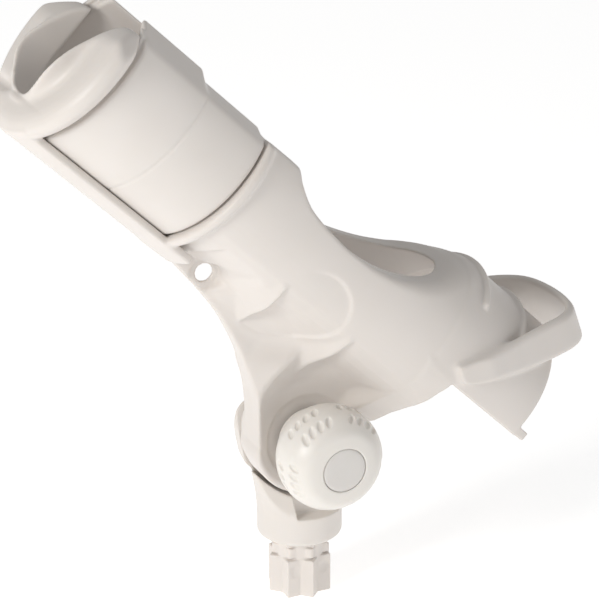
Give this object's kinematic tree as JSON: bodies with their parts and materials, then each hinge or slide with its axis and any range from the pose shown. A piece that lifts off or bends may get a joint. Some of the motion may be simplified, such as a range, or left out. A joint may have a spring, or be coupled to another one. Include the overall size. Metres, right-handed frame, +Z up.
{
  "type": "fishing rod holder",
  "caption": "Open tube cradle for a fishing rod with a turning lock collar, a toothed tilt joint with a ball knob and a star plug under its base.",
  "frame": {"origin": "centre of the flat seat face under the base, where the star plug enters its port", "axes": "+Z up out of the port, +X towards the tail and hoop, the rod's mouth is at -X and the clamping knob is on -Y"},
  "size_m": [0.2647, 0.0893, 0.2757],
  "materials": {
    "ivory": "satin ivory moulding",
    "ivory_plug": "satin ivory moulding",
    "ivory_knob": "smooth satin ivory moulding",
    "steel": "plain stainless steel",
    "bush": "dark bearing plastic",
    "insert": "turned brass"
  },
  "bodies": {
    "base": {"tilt_base": "ivory", "star_plug": "ivory_plug", "plug_washer": "steel", "plug_screw": "steel", "pivot_bolt": "steel", "stop_clip": "steel", "bolt_cover": "ivory", "release_spring": "steel", "thrust_washer": "steel"},
    "holder": {"holder_body": "ivory", "tail_hoop": "ivory", "pivot_bush": "bush"},
    "knob": {"knob_shell": "ivory_knob", "knob_insert": "insert", "knob_cap": "ivory_knob"},
    "collar": {"locking_collar": "ivory"}
  },
  "joints": [
    {"name": "tilt", "type": "hinge", "parent": "base", "child": "holder", "pos_m": [0, 0, 0.048], "axis": [0, 1, 0], "range_deg": [-60, 30]},
    {"name": "knob_turn", "type": "hinge", "parent": "base", "child": "knob", "pos_m": [0, -0.03, 0.048], "axis": [0, -1, 0], "range_deg": [0, 540]},
    {"name": "collar_turn", "type": "hinge", "parent": "holder", "child": "collar", "pos_m": [-0.0678, 0, 0.2033], "axis": [-0.7193, 0, 0.6947], "range_deg": [-90, 90]}
  ]
}
